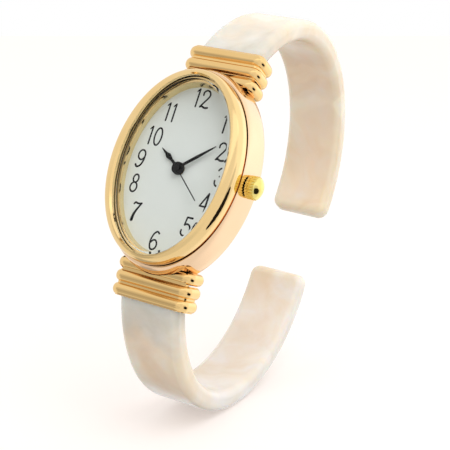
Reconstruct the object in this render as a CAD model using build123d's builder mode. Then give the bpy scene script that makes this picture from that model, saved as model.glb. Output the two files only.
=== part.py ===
from build123d import *
import os
from math import cos, pi, radians, sin

# Women's cuff watch. Lengths in millimetres, angles in degrees.
# The origin is the middle of the case back's outer face. +Z points to 12 o'clock, +X to the crown,
# and -Y to the front, so a height is measured from the case back towards the dial, along -Y.
os.makedirs("parts", exist_ok=True)

# Clearances and overruns
fit_gap = 0.03
running_gap = 0.05
overrun = 1.0
full_turn = 360

# Case and case back
case_length = 33.0
case_width = 22.6
case_top = 6.8
case_lean_along = 1.1
case_lean_across = 0.3
case_shape_shares = ((0.0, 0.0), (0.6, 0.06), (0.8, 0.28), (0.93, 0.6), (1.0, 1.0))
case_back_rounding = 0.8
back_inset_along = 2.9
back_inset_across = 1.7
back_thickness = 0.8
back_proud = 0.45
back_chamfer = 0.25
back_slot_width = 2.2
back_slot_depth = 0.35
gasket_thickness = 0.2
gasket_width = 0.35
back_shoulder = 0.4
seam_width = 0.32
seam_depth = 0.3

# Dial, flange, bezel and crystal
dial_seat_along = 0.7
dial_seat_across = 0.3
dial_thickness = 0.4
dial_bore = 1.8
foot_radius = 0.3
foot_length = 0.9
foot_place_shares = ((0.645, -0.75), (-0.645, 0.75))
flange_height = 1.3
flange_bottom_inset_along = 0.7
flange_bottom_inset_across = 0.5
flange_top_inset_along = 0.4
flange_top_inset_across = 0.75
bezel_height = 2.4
bezel_crest_inset_along = 1.0
bezel_crest_inset_across = 1.6
bezel_shape_shares = ((0.0, 0.0), (0.42, 0.05), (0.72, 0.22), (0.9, 0.52), (1.0, 1.0))
lip_inset_along = 0.2
lip_inset_across = 0.3
lip_drop = 0.3
ledge_width = 0.35
crystal_thickness = 1.6
crystal_bevel = 0.45
crystal_bevel_height = 0.3
crystal_gasket_thickness = 0.1

# Movement plate, holder and train bridge
plate_length = 18.4
plate_width = 15.2
plate_corner = 5.5
plate_bottom = 3.2
plate_thickness = 1.4
recess_depth = 0.6
recess_margin = 0.2
holder_bottom = 0.9
train_space = 1.8
bridge_thickness = 0.25
bridge_margin = 0.9
post_radius = 0.5
post_place_shares = ((0.592, -0.076), (0.618, 0.348), (-0.645, 0.283), (-0.645, -0.174))
pillar_across = 5.3
pillar_along = 5.0
screw_radius = 0.28
screw_head_radius = 0.52
screw_head_height = 0.22
screw_length = 1.1
screw_slot_width = 0.14
screw_slot_depth = 0.1

# Wheel train. A wheel's or pinion's rise is its height over the train bridge's outer face
arbor_radius = 0.1
seconds_arbor_radius = 0.15
centre_bore = 0.2
centre_arbor_radius = 0.4
hour_pipe_bore = 0.45
hour_pipe_radius = 0.72
wheel_thickness = 0.15
pinion_thickness = 0.25
rotor_pinion_rise = 0.32
fifth_wheel_rise = 0.36
fourth_wheel_rise = 0.66
third_wheel_rise = 1.0
centre_wheel_rise = 1.4
small_module = 0.06
fourth_module = 0.1
centre_module = 0.0625
motion_module = 0.1
pinion_teeth = 8
fifth_teeth = 48
fourth_teeth = 40
third_teeth = 60
centre_teeth = 64
cannon_teeth = 12
minute_wheel_teeth = 36
minute_pinion_teeth = 10
hour_wheel_teeth = 40
setting_teeth = 28
fifth_direction = 40
rotor_direction = 100
third_direction = 170
minute_direction = -45
setting_direction = -5
tooth_root_share = 0.32
tooth_tip_share = 0.12
addendum_share = 0.9
dedendum_share = 1.2
rotor_magnet_radius = 0.6
rotor_magnet_rise = 1.05
rotor_magnet_height = 0.65

# Coil, stator, circuit and battery
stator_drop = 0.4
stator_thickness = 0.35
stator_width = 7.8
stator_start = 2.25
stator_length = 5.35
stator_limb = 0.8
stator_bar = 2.1
rotor_gap = 0.25
coil_inset = 0.6
coil_drop = 0.55
coil_core_width = 0.9
coil_core_thickness = 0.4
coil_radius = 0.78
coil_length = 5.8
board_thickness = 0.2
board_side_margin = 0.6
board_near_margin = 0.7
board_length = 3.9
board_corner = 0.9
chip_side = 2.2
chip_thickness = 0.25
chip_across = 2.4
chip_along = 6.2
can_radius = 0.55
can_length = 4.8
can_across = 0.4
can_along = 5.05
battery_radius = 3.4
battery_height = 2.1
battery_edge_gap = 0.15
battery_cap_radius = 2.8
battery_cap_height = 0.4
strap_thickness = 0.1
strap_width = 1.6
strap_overhang = 0.7
contact_thickness = 0.1
contact_width = 1.2
contact_length = 5.0

# Crown, stem and setting parts
stem_radius = 0.35
stem_inner_end = 3.9
stem_groove_place = 5.4
stem_groove_width = 0.36
stem_groove_radius = 0.22
clutch_place = 4.1
clutch_length = 0.5
clutch_radius = 0.45
clutch_teeth = 14
clutch_tooth_depth = 0.08
crown_pull = 0.8
lever_thickness = 0.15
lever_length = 1.5
lever_width = 0.9
lever_peg = 0.18
tube_radius = 0.7
tube_bore = 0.42
tube_reach = 0.75
crown_radius = 1.8
crown_clearance = 0.12
crown_knurl_length = 1.35
crown_cap_length = 0.15
crown_dome_height = 0.65
crown_cap_radius = 1.66
crown_cap_rounding = 0.2
crown_flutes = 24
crown_flute_depth = 0.19
crown_groove_width = 0.09
crown_groove_depth = 0.12
crown_recess_radius = 1.08
crown_recess_depth = 1.1
ring_wire = 0.16

# Hands, set to the time that the dial shows
shown_hours = 10
shown_minutes = 8
shown_seconds = 22
hours_per_turn = 12
minutes_per_turn = 60
seconds_per_turn = 60
hand_thickness = 0.14
hand_spacing = 0.2
hour_hand_length = 4.6
minute_hand_length = 6.9
second_hand_length = 6.5
second_hand_tail = 1.3
hour_hand_width = 0.5
minute_hand_width = 0.42
second_hand_width = 0.14
hour_hub_radius = 1.0
minute_hub_radius = 0.95
second_hub_radius = 0.62
hour_hand_gap = 0.32
washer_thickness = 0.05
washer_radius = 0.86

# Hinge, ferrule and arm of the 12 o'clock side. The 6 o'clock side is its mirror image
hinge_height = 3.05
hinge_inset = 1.05
ferrule_lean = 7
rib_width = 13.6
rib_depth = 5.4
rib_length = 1.95
rib_pitch = 2.1
rib_count = 3
rib_corner = 1.7
rib_front = 1.05
core_inset = 0.55
notch_front_gap = 0.35
hinge_pin_radius = 0.3
hinge_pin_seat = 0.5
knuckle_width = 11.6
barrel_wall = 0.3
neck_front = 0.15
neck_thickness = 0.9
slot_depth = 1.9
spring_wire_side = 0.16
spring_pin_gap = 0.08
spring_pocket_gap = 0.06
spring_pocket_depth = 1.5
spring_pitch = 0.28
spring_turns = 4
arm_width = 10.6
arm_thickness = 3.45
arm_start_out = 3.35
arm_start_front = 0.52
arm_start_heading = 25.2
shoulder_radius = 27.3
shoulder_turn = 31.0
bow_radius = 22.4
bow_turn = 68.8
tip_radius = 25.2
tip_turn = 63.1
arm_rounding = 1.25
tip_corner = 1.8
tongue_inset = 0.75
tongue_thickness = 2.5
tongue_front = 1.2
tongue_reach = 0.5
socket_depth = 2.4
mouth_depth = 0.2
rivet_radius = 0.5
rivet_length = 3.1


def save(piece, label):
    """Label a finished piece and write it."""
    piece.part.label = label
    export_step(piece.part, f"parts/{label}.step")


def save_pair(piece, label):
    """Save a piece of the 12 o'clock side and its mirror image for the 6 o'clock side."""
    save(piece, "upper_" + label)
    with BuildPart() as twin:
        mirror(objects=piece.part, about=Plane.XY)
    save(twin, "lower_" + label)


def level(height):
    """The plane parallel to the dial at this height over the case back's outer face."""
    return Plane.XZ.offset(height)


def tooth_points(teeth, module):
    """Corners of a wheel with straight-sided teeth."""
    tip = module * (teeth / 2 + addendum_share)
    root = module * (teeth / 2 - dedendum_share)
    flanks = (
        (root, -tooth_root_share),
        (tip, -tooth_tip_share),
        (tip, tooth_tip_share),
        (root, tooth_root_share),
    )
    points = []
    for tooth in range(teeth):
        for radius, share in flanks:
            angle = 2 * pi * (tooth + share) / teeth
            points.append((radius * cos(angle), radius * sin(angle)))
    return points


def polar(start, distance, direction):
    """The place at a distance and direction from another place, in the plane of the dial."""
    angle = radians(direction)
    return (start[0] + distance * cos(angle), start[1] + distance * sin(angle))


# Ovals that follow from the case
back_length = case_length - 2 * back_inset_along
back_width = case_width - 2 * back_inset_across
cavity_length = back_length - 2 * back_shoulder
cavity_width = back_width - 2 * back_shoulder
dial_length = cavity_length + 2 * dial_seat_along
dial_width = cavity_width + 2 * dial_seat_across
flange_bottom_length = dial_length - 2 * flange_bottom_inset_along
flange_bottom_width = dial_width - 2 * flange_bottom_inset_across
flange_top_length = dial_length - 2 * flange_top_inset_along
flange_top_width = dial_width - 2 * flange_top_inset_across
crest_length = case_length - 2 * (case_lean_along + bezel_crest_inset_along)
crest_width = case_width - 2 * (case_lean_across + bezel_crest_inset_across)
lip_length = crest_length - 2 * lip_inset_along
lip_width = crest_width - 2 * lip_inset_across

# Places on the movement plate, seen from the front
plate_half = (plate_width / 2, plate_length / 2)
foot_places = [(plate_half[0] * across, plate_half[1] * along) for across, along in foot_place_shares]
post_places = [(plate_half[0] * across, plate_half[1] * along) for across, along in post_place_shares]
board_pillar_places = ((pillar_across, pillar_along), (-pillar_across, pillar_along))
battery_along = battery_radius + battery_edge_gap - plate_half[1]
battery_place = (0, battery_along)
coil_along = stator_start + stator_length - coil_inset

# Places of the wheels, seen from the front
middle = (0, 0)
third_distance = (centre_teeth + pinion_teeth) * centre_module / 2
third_module = 2 * third_distance / (third_teeth + pinion_teeth)
third_place = polar(middle, third_distance, third_direction)
fifth_distance = (fourth_teeth + pinion_teeth) * fourth_module / 2
fifth_place = polar(middle, fifth_distance, fifth_direction)
rotor_distance = (fifth_teeth + pinion_teeth) * small_module / 2
rotor_place = polar(fifth_place, rotor_distance, rotor_direction)
minute_distance = (cannon_teeth + minute_wheel_teeth) * motion_module / 2
minute_place = polar(middle, minute_distance, minute_direction)
setting_distance = (minute_wheel_teeth + setting_teeth) * motion_module / 2
setting_place = polar(minute_place, setting_distance, setting_direction)
hour_module = 2 * minute_distance / (minute_pinion_teeth + hour_wheel_teeth)
train_places = (middle, third_place, fifth_place, rotor_place)

# Levels that follow from the sizes above
plate_top = plate_bottom + plate_thickness
recess_floor = plate_top - recess_depth
stem_height = plate_bottom + plate_thickness / 2
bridge_bottom = plate_bottom - train_space
rotor_pinion_level = bridge_bottom + rotor_pinion_rise
fifth_wheel_level = bridge_bottom + fifth_wheel_rise
fourth_wheel_level = bridge_bottom + fourth_wheel_rise
third_wheel_level = bridge_bottom + third_wheel_rise
centre_wheel_level = bridge_bottom + centre_wheel_rise
rotor_magnet_level = bridge_bottom + rotor_magnet_rise
stator_level = plate_bottom - stator_drop
coil_height = stator_level - coil_drop
battery_bottom = plate_bottom - running_gap - contact_thickness - battery_height
dial_bottom = plate_top + running_gap
dial_top = dial_bottom + dial_thickness
ledge_level = dial_top + flange_height
crystal_bottom = case_top + crystal_gasket_thickness
hour_hand_level = dial_top + hour_hand_gap
minute_hand_level = hour_hand_level + hand_thickness + hand_spacing
second_hand_level = minute_hand_level + hand_thickness + hand_spacing
board_level = bridge_bottom - board_thickness
motion_level = recess_floor + running_gap

# The frame of the ribs: its origin lies on the hinge pin and its Z runs outwards along the ferrule
hinge_place = case_length / 2 - hinge_inset
lean = radians(ferrule_lean)
rib_plane = Plane(origin=(0, -hinge_height, hinge_place), x_dir=(1, 0, 0), z_dir=(0, sin(lean), cos(lean)))
rib_middle = rib_depth / 2 - rib_front
rib_rounding = rib_length / 2 - running_gap


with BuildPart() as case_body:
    for rise, inset in case_shape_shares:
        with BuildSketch(level(back_proud + (case_top - back_proud) * rise)):
            Ellipse(case_width / 2 - case_lean_across * inset, case_length / 2 - case_lean_along * inset)
    loft()
    fillet(case_body.edges().group_by(Axis.Y)[-1], case_back_rounding)
    with BuildSketch(level(back_proud)):
        Ellipse(back_width / 2 + fit_gap, back_length / 2 + fit_gap)
    extrude(amount=back_thickness + gasket_thickness - back_proud, mode=Mode.SUBTRACT)
    with BuildSketch(level(back_proud)):
        Ellipse(cavity_width / 2, cavity_length / 2)
    extrude(amount=dial_bottom, mode=Mode.SUBTRACT)
    with BuildSketch(level(dial_bottom)):
        Ellipse(dial_width / 2 + fit_gap, dial_length / 2 + fit_gap)
    extrude(amount=case_top - dial_bottom, mode=Mode.SUBTRACT)
    with BuildSketch(level(case_top - seam_width)):
        Ellipse(case_width / 2 + overrun, case_length / 2 + overrun)
        Ellipse(
            case_width / 2 - case_lean_across - seam_depth,
            case_length / 2 - case_lean_along - seam_depth,
            mode=Mode.SUBTRACT,
        )
    extrude(amount=seam_width, mode=Mode.SUBTRACT)
    with BuildSketch(Plane.YZ.offset(dial_width / 2 - overrun)):
        with Locations((-stem_height, 0)):
            Circle(tube_radius)
    extrude(amount=case_width / 2, mode=Mode.SUBTRACT)
    for mirrored in (False, True):
        notch_plane = rib_plane.offset(-rib_length / 2)
        with BuildSketch(notch_plane) as notch:
            with Locations((0, -rib_front - notch_front_gap)):
                Rectangle(case_width, case_length, align=(Align.CENTER, Align.MIN))
        notch_box = extrude(notch.sketch, amount=case_length / 2, mode=Mode.PRIVATE)
        if mirrored:
            notch_box = mirror(notch_box, about=Plane.XY, mode=Mode.PRIVATE)
        add(notch_box, mode=Mode.SUBTRACT)
save(case_body, "case_body")

with BuildPart() as case_back:
    with BuildSketch(level(0)):
        Ellipse(back_width / 2, back_length / 2)
    extrude(amount=back_thickness)
    chamfer(case_back.edges().group_by(Axis.Y)[-1], back_chamfer)
    with BuildSketch(level(0)):
        with Locations((0, -back_length / 2)):
            Rectangle(back_slot_width, 2 * back_slot_depth)
    extrude(amount=back_proud, mode=Mode.SUBTRACT)
save(case_back, "case_back")

with BuildPart() as case_back_gasket:
    with BuildSketch(level(back_thickness)):
        Ellipse(back_width / 2, back_length / 2)
        Ellipse(back_width / 2 - gasket_width, back_length / 2 - gasket_width, mode=Mode.SUBTRACT)
    extrude(amount=gasket_thickness)
save(case_back_gasket, "case_back_gasket")

with BuildPart() as dial:
    with BuildSketch(level(dial_bottom)):
        Ellipse(dial_width / 2, dial_length / 2)
        Circle(dial_bore / 2, mode=Mode.SUBTRACT)
    extrude(amount=dial_thickness)
    with BuildSketch(level(dial_bottom - foot_length)):
        with Locations(*foot_places):
            Circle(foot_radius)
    extrude(amount=foot_length)
save(dial, "dial")

with BuildPart() as dial_flange:
    with BuildSketch(level(dial_top)):
        Ellipse(dial_width / 2, dial_length / 2)
    extrude(amount=flange_height)
    with BuildSketch(level(dial_top)):
        Ellipse(flange_bottom_width / 2, flange_bottom_length / 2)
    with BuildSketch(level(ledge_level)):
        Ellipse(flange_top_width / 2, flange_top_length / 2)
    loft(mode=Mode.SUBTRACT)
save(dial_flange, "dial_flange")

with BuildPart() as bezel:
    seam_oval = (case_width / 2 - case_lean_across, case_length / 2 - case_lean_along)
    for rise, inset in bezel_shape_shares:
        with BuildSketch(level(case_top + bezel_height * rise)):
            Ellipse(
                seam_oval[0] - bezel_crest_inset_across * inset,
                seam_oval[1] - bezel_crest_inset_along * inset,
            )
    loft()
    with BuildSketch(level(ledge_level)):
        Ellipse(dial_width / 2, dial_length / 2)
    extrude(amount=case_top - ledge_level)
    with BuildSketch(level(case_top)):
        Ellipse(lip_width / 2, lip_length / 2)
    extrude(amount=bezel_height, mode=Mode.SUBTRACT)
    with BuildSketch(level(case_top + bezel_height - lip_drop)):
        Ellipse(lip_width / 2, lip_length / 2)
    with BuildSketch(level(case_top + bezel_height)):
        Ellipse(crest_width / 2, crest_length / 2)
    loft(mode=Mode.SUBTRACT)
    with BuildSketch(level(ledge_level)):
        Ellipse(flange_top_width / 2, flange_top_length / 2)
    extrude(amount=case_top - ledge_level, mode=Mode.SUBTRACT)
save(bezel, "bezel")

with BuildPart() as crystal_gasket:
    with BuildSketch(level(case_top)):
        Ellipse(lip_width / 2 - running_gap, lip_length / 2 - running_gap)
        Ellipse(lip_width / 2 - ledge_width, lip_length / 2 - ledge_width, mode=Mode.SUBTRACT)
    extrude(amount=crystal_gasket_thickness)
save(crystal_gasket, "crystal_gasket")

with BuildPart() as crystal:
    with BuildSketch(level(crystal_bottom)):
        Ellipse(lip_width / 2 - running_gap, lip_length / 2 - running_gap)
    extrude(amount=crystal_thickness)
    chamfer(crystal.edges().group_by(Axis.Y)[0], crystal_bevel_height, crystal_bevel)
save(crystal, "crystal")

with BuildPart() as movement_holder:
    with BuildSketch(level(holder_bottom)):
        Ellipse(cavity_width / 2 - running_gap, cavity_length / 2 - running_gap)
        RectangleRounded(
            plate_width + 2 * running_gap,
            plate_length + 2 * running_gap,
            plate_corner + running_gap,
            mode=Mode.SUBTRACT,
        )
    extrude(amount=dial_bottom - holder_bottom)
    with BuildSketch(Plane.YZ):
        with Locations((-stem_height, 0)):
            Circle(stem_radius + running_gap)
    extrude(amount=case_width, mode=Mode.SUBTRACT)
save(movement_holder, "movement_holder")

with BuildPart() as main_plate:
    with BuildSketch(level(plate_bottom)):
        RectangleRounded(plate_width, plate_length, plate_corner)
    extrude(amount=plate_top - plate_bottom)
    with BuildSketch(level(bridge_bottom)):
        with Locations(*board_pillar_places):
            Circle(post_radius)
    extrude(amount=plate_bottom - bridge_bottom)
    with BuildSketch(level(recess_floor)):
        Circle(hour_module * hour_wheel_teeth / 2 + recess_margin)
        with Locations(minute_place):
            Circle(motion_module * minute_wheel_teeth / 2 + recess_margin)
        with Locations(setting_place):
            Circle(motion_module * setting_teeth / 2 + recess_margin)
    extrude(amount=plate_top - recess_floor, mode=Mode.SUBTRACT)
    with BuildSketch(level(stem_height - clutch_radius - running_gap)):
        with Locations((clutch_place - running_gap, 0)):
            Rectangle(
                clutch_length + crown_pull + 2 * running_gap,
                2 * (clutch_radius + running_gap),
                align=(Align.MIN, Align.CENTER),
            )
        with Locations((stem_groove_place - lever_width / 2 - running_gap, -lever_peg)):
            Rectangle(
                lever_width + crown_pull + 2 * running_gap,
                lever_length + lever_peg + stem_radius,
                align=(Align.MIN, Align.MIN),
            )
    extrude(amount=plate_top, mode=Mode.SUBTRACT)
    with BuildSketch(Plane.YZ.offset(stem_inner_end - running_gap)):
        with Locations((-stem_height, 0)):
            Circle(stem_radius + running_gap)
    extrude(amount=plate_width, mode=Mode.SUBTRACT)
    with BuildSketch(level(plate_bottom)):
        Circle(centre_arbor_radius + running_gap)
        with Locations(third_place, fifth_place, rotor_place):
            Circle(arbor_radius + running_gap)
        with Locations(*foot_places):
            Circle(foot_radius + fit_gap)
        with Locations(*post_places):
            Circle(screw_radius)
    extrude(amount=plate_top - plate_bottom, mode=Mode.SUBTRACT)
    with BuildSketch(level(bridge_bottom)):
        with Locations(*board_pillar_places):
            Circle(screw_radius)
    extrude(amount=screw_length, mode=Mode.SUBTRACT)
    with BuildSketch(level(recess_floor)):
        with Locations(minute_place, setting_place):
            Circle(arbor_radius)
    extrude(amount=plate_top - recess_floor)
save(main_plate, "main_plate")

with BuildPart() as train_bridge:
    with BuildSketch(level(bridge_bottom)) as bridge_outline:
        with Locations(*post_places):
            Circle(bridge_margin)
        make_hull()
    extrude(amount=bridge_thickness)
    with BuildSketch(level(bridge_bottom)):
        with Locations(*post_places):
            Circle(post_radius)
    extrude(amount=plate_bottom - bridge_bottom)
    with BuildSketch(level(bridge_bottom)):
        with Locations(*post_places):
            Circle(screw_radius)
    extrude(amount=plate_bottom - bridge_bottom, mode=Mode.SUBTRACT)
    with BuildSketch(level(bridge_bottom)):
        with Locations(*train_places):
            Circle(seconds_arbor_radius + running_gap)
    extrude(amount=bridge_thickness, mode=Mode.SUBTRACT)
save(train_bridge, "train_bridge")

with BuildPart() as movement_screws:
    for head_bottom, places in (
        (bridge_bottom - screw_head_height, post_places),
        (board_level - screw_head_height, board_pillar_places),
    ):
        with BuildSketch(level(head_bottom)):
            with Locations(*places):
                Circle(screw_head_radius)
        extrude(amount=screw_head_height)
        with BuildSketch(level(head_bottom)):
            with Locations(*places):
                Rectangle(2 * screw_head_radius, screw_slot_width)
        extrude(amount=screw_slot_depth, mode=Mode.SUBTRACT)
        with BuildSketch(level(head_bottom + screw_head_height)):
            with Locations(*places):
                Circle(screw_radius - fit_gap)
        extrude(amount=screw_length)
save(movement_screws, "movement_screws")


def arbor(place, bottom, top, radius, bore=0):
    """A turned arbor or pipe, added to the part being built."""
    with BuildSketch(level(bottom)) as outline:
        with Locations(place):
            Circle(radius)
            if bore:
                Circle(bore, mode=Mode.SUBTRACT)
    extrude(outline.sketch, amount=top - bottom)


def toothed(place, height, thickness, teeth, module, bore=0):
    """A toothed disc, added to the part being built."""
    with BuildSketch(level(height)) as outline:
        with Locations(place):
            Polygon(*tooth_points(teeth, module), align=None)
            if bore:
                Circle(bore, mode=Mode.SUBTRACT)
    extrude(outline.sketch, amount=thickness)


with BuildPart() as rotor:
    toothed(rotor_place, rotor_pinion_level, pinion_thickness, pinion_teeth, small_module)
    arbor(rotor_place, bridge_bottom, plate_bottom + running_gap, arbor_radius)
    arbor(rotor_place, rotor_magnet_level, rotor_magnet_level + rotor_magnet_height, rotor_magnet_radius)
save(rotor, "rotor")

with BuildPart() as fifth_wheel:
    toothed(fifth_place, fifth_wheel_level, wheel_thickness, fifth_teeth, small_module)
    toothed(fifth_place, fourth_wheel_level - running_gap, pinion_thickness, pinion_teeth, fourth_module)
    arbor(fifth_place, bridge_bottom, plate_bottom + running_gap, arbor_radius)
save(fifth_wheel, "fifth_wheel")

with BuildPart() as fourth_wheel:
    toothed(middle, fourth_wheel_level, wheel_thickness, fourth_teeth, fourth_module)
    toothed(middle, third_wheel_level - running_gap, pinion_thickness, pinion_teeth, third_module)
    arbor(middle, bridge_bottom, second_hand_level, seconds_arbor_radius)
save(fourth_wheel, "fourth_wheel")

with BuildPart() as third_wheel:
    toothed(third_place, third_wheel_level, wheel_thickness, third_teeth, third_module)
    toothed(third_place, centre_wheel_level - running_gap, pinion_thickness, pinion_teeth, centre_module)
    arbor(third_place, bridge_bottom, plate_bottom + running_gap, arbor_radius)
save(third_wheel, "third_wheel")

with BuildPart() as centre_wheel:
    toothed(middle, centre_wheel_level, wheel_thickness, centre_teeth, centre_module, bore=centre_bore)
    toothed(middle, motion_level, wheel_thickness, cannon_teeth, motion_module, bore=centre_bore)
    arbor(middle, centre_wheel_level, minute_hand_level, centre_arbor_radius, bore=centre_bore)
save(centre_wheel, "centre_wheel")

with BuildPart() as minute_wheel:
    stud_bore = arbor_radius + fit_gap
    toothed(minute_place, motion_level, wheel_thickness, minute_wheel_teeth, motion_module, bore=stud_bore)
    pinion_level = motion_level + wheel_thickness
    toothed(minute_place, pinion_level, pinion_thickness, minute_pinion_teeth, hour_module, bore=stud_bore)
save(minute_wheel, "minute_wheel")

with BuildPart() as hour_wheel:
    hour_wheel_level = pinion_level + 2 * running_gap
    toothed(middle, hour_wheel_level, wheel_thickness, hour_wheel_teeth, hour_module, bore=hour_pipe_bore)
    arbor(middle, hour_wheel_level, hour_hand_level, hour_pipe_radius, bore=hour_pipe_bore)
save(hour_wheel, "hour_wheel")

with BuildPart() as setting_wheel:
    toothed(setting_place, motion_level, wheel_thickness, setting_teeth, motion_module, bore=stud_bore)
save(setting_wheel, "setting_wheel")

with BuildPart() as dial_washer:
    with BuildSketch(level(dial_bottom - washer_thickness)):
        Circle(washer_radius)
        Circle(hour_pipe_radius + running_gap, mode=Mode.SUBTRACT)
    extrude(amount=washer_thickness)
save(dial_washer, "dial_washer")

with BuildPart() as stator:
    with BuildSketch(level(stator_level)):
        with Locations((0, stator_start)):
            Rectangle(stator_width, stator_length, align=(Align.CENTER, Align.MIN))
        with Locations((0, stator_start + stator_bar)):
            Rectangle(
                stator_width - 2 * stator_limb,
                stator_length,
                align=(Align.CENTER, Align.MIN),
                mode=Mode.SUBTRACT,
            )
        with Locations(rotor_place):
            Circle(rotor_magnet_radius + rotor_gap, mode=Mode.SUBTRACT)
    extrude(amount=stator_thickness)
save(stator, "stator")

with BuildPart() as coil_core:
    core_bottom = coil_height - coil_core_thickness / 2
    with BuildSketch(level(core_bottom)):
        with Locations((0, coil_along)):
            Rectangle(stator_width, coil_core_width)
    extrude(amount=coil_core_thickness)
    with BuildSketch(level(coil_height)):
        with Locations(*[(side * (stator_width - stator_limb) / 2, coil_along) for side in (-1, 1)]):
            Rectangle(stator_limb, coil_core_width)
    extrude(amount=stator_level - coil_height)
save(coil_core, "coil_core")

with BuildPart() as coil_winding:
    with BuildSketch(Plane.YZ):
        with Locations((-coil_height, coil_along)):
            Circle(coil_radius)
            Rectangle(coil_core_thickness, coil_core_width, mode=Mode.SUBTRACT)
    extrude(amount=coil_length / 2, both=True)
save(coil_winding, "coil_winding")

with BuildPart() as circuit_board:
    with BuildSketch(level(board_level)):
        with Locations((0, pillar_along - board_near_margin + board_length / 2)):
            RectangleRounded(2 * (pillar_across + board_side_margin), board_length, board_corner)
        with Locations(*board_pillar_places):
            Circle(screw_radius, mode=Mode.SUBTRACT)
    extrude(amount=board_thickness)
save(circuit_board, "circuit_board")

with BuildPart() as ic_chip:
    with BuildSketch(level(board_level - chip_thickness)):
        with Locations((-chip_across, chip_along)):
            Rectangle(chip_side, chip_side)
    extrude(amount=chip_thickness)
save(ic_chip, "ic_chip")

with BuildPart() as quartz_can:
    with BuildSketch(Plane.YZ.offset(-can_across - can_length / 2)):
        with Locations((-bridge_bottom - can_radius, can_along)):
            Circle(can_radius)
    extrude(amount=can_length)
save(quartz_can, "quartz_can")

with BuildPart() as battery:
    with BuildSketch(level(battery_bottom)):
        with Locations(battery_place):
            Circle(battery_radius)
    extrude(amount=battery_height - battery_cap_height)
    with BuildSketch(level(battery_bottom)):
        with Locations(battery_place):
            Circle(battery_cap_radius)
    extrude(amount=battery_height)
save(battery, "battery")

with BuildPart() as battery_clamp:
    strap_reach = battery_radius + strap_overhang
    with BuildSketch(level(battery_bottom - strap_thickness)):
        with Locations(battery_place):
            Rectangle(2 * strap_reach, strap_width)
    extrude(amount=strap_thickness)
    with BuildSketch(level(battery_bottom - strap_thickness)):
        with Locations(*[(side * strap_reach, battery_along) for side in (-1, 1)]):
            Rectangle(2 * strap_thickness, strap_width)
    extrude(amount=plate_bottom - battery_bottom + strap_thickness)
save(battery_clamp, "battery_clamp")

with BuildPart() as battery_contact:
    with BuildSketch(level(battery_bottom + battery_height)):
        with Locations(battery_place):
            Rectangle(contact_width, contact_length)
    extrude(amount=contact_thickness)
save(battery_contact, "battery_contact")


def along_stem(start, length, radius, bore=0, mode=Mode.ADD):
    """A turned piece on the stem's axis, in the part being built."""
    with BuildSketch(Plane.YZ.offset(start)) as outline:
        with Locations((-stem_height, 0)):
            Circle(radius)
            if bore:
                Circle(bore, mode=Mode.SUBTRACT)
    extrude(outline.sketch, amount=length, mode=mode)


stem_axis = Axis((0, -stem_height, 0), (1, 0, 0))

# The case wall's outer face where the crown sits
wall_share = case_shape_shares[1][1]
crown_seat = case_width / 2 - case_lean_across * wall_share
crown_inner = crown_seat + crown_clearance

with BuildPart() as winding_stem:
    stem_end = crown_inner + crown_knurl_length
    along_stem(stem_inner_end, stem_end - stem_inner_end, stem_radius)
    groove_start = stem_groove_place - stem_groove_width / 2
    past_stem = stem_radius + running_gap
    along_stem(groove_start, stem_groove_width, past_stem, bore=stem_groove_radius, mode=Mode.SUBTRACT)
save(winding_stem, "winding_stem")

with BuildPart() as clutch_wheel:
    along_stem(clutch_place, clutch_length, clutch_radius, bore=stem_radius)
    with BuildSketch(Plane.YZ.offset(clutch_place)):
        with Locations((-stem_height, 0)):
            with PolarLocations(clutch_radius, clutch_teeth):
                Rectangle(2 * clutch_tooth_depth, clutch_tooth_depth)
    extrude(amount=clutch_tooth_depth, mode=Mode.SUBTRACT)
save(clutch_wheel, "clutch_wheel")

with BuildPart() as setting_lever:
    lever_bottom = stem_height + stem_radius + running_gap
    with BuildSketch(level(lever_bottom)):
        with Locations((stem_groove_place, 0)):
            Rectangle(lever_width, lever_length, align=(Align.CENTER, Align.MIN))
    extrude(amount=lever_thickness)
    with BuildSketch(level(stem_height)):
        with Locations((stem_groove_place, stem_groove_radius + fit_gap)):
            Rectangle(lever_peg, lever_peg, align=(Align.CENTER, Align.MIN))
    extrude(amount=lever_bottom - stem_height)
save(setting_lever, "setting_lever")

with BuildPart() as crown_tube:
    along_stem(dial_width / 2, crown_inner + tube_reach - dial_width / 2, tube_radius, bore=tube_bore)
save(crown_tube, "crown_tube")

with BuildPart() as crown:
    with BuildSketch(Plane.YZ.offset(crown_inner)):
        with Locations((-stem_height, 0)):
            Circle(crown_radius)
            with PolarLocations(crown_radius, crown_flutes):
                Circle(crown_flute_depth, mode=Mode.SUBTRACT)
    extrude(amount=crown_knurl_length)
    cap_start = crown_inner + crown_knurl_length
    along_stem(cap_start, crown_cap_length, crown_cap_radius)
    dome_start = cap_start + crown_cap_length
    dome_radius = (crown_cap_radius**2 + crown_dome_height**2) / (2 * crown_dome_height)
    dome_middle = dome_start + crown_dome_height - dome_radius
    with BuildSketch(Plane.XY):
        with Locations((dome_middle, -stem_height)):
            Circle(dome_radius)
        with Locations((dome_start, -stem_height)):
            Rectangle(crown_dome_height, crown_cap_radius, align=(Align.MIN, Align.MIN), mode=Mode.INTERSECT)
    revolve(axis=stem_axis)
    fillet(crown.faces().sort_by(Axis.X)[-1].edges(), crown_cap_rounding)
    groove_place = crown_inner + (crown_knurl_length - crown_groove_width) / 2
    groove_bottom = crown_radius - crown_groove_depth
    groove_outside = crown_radius + overrun
    along_stem(groove_place, crown_groove_width, groove_outside, bore=groove_bottom, mode=Mode.SUBTRACT)
    along_stem(crown_inner, crown_recess_depth, crown_recess_radius, mode=Mode.SUBTRACT)
    along_stem(crown_inner, stem_end - crown_inner, stem_radius, mode=Mode.SUBTRACT)
save(crown, "crown")

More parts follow.
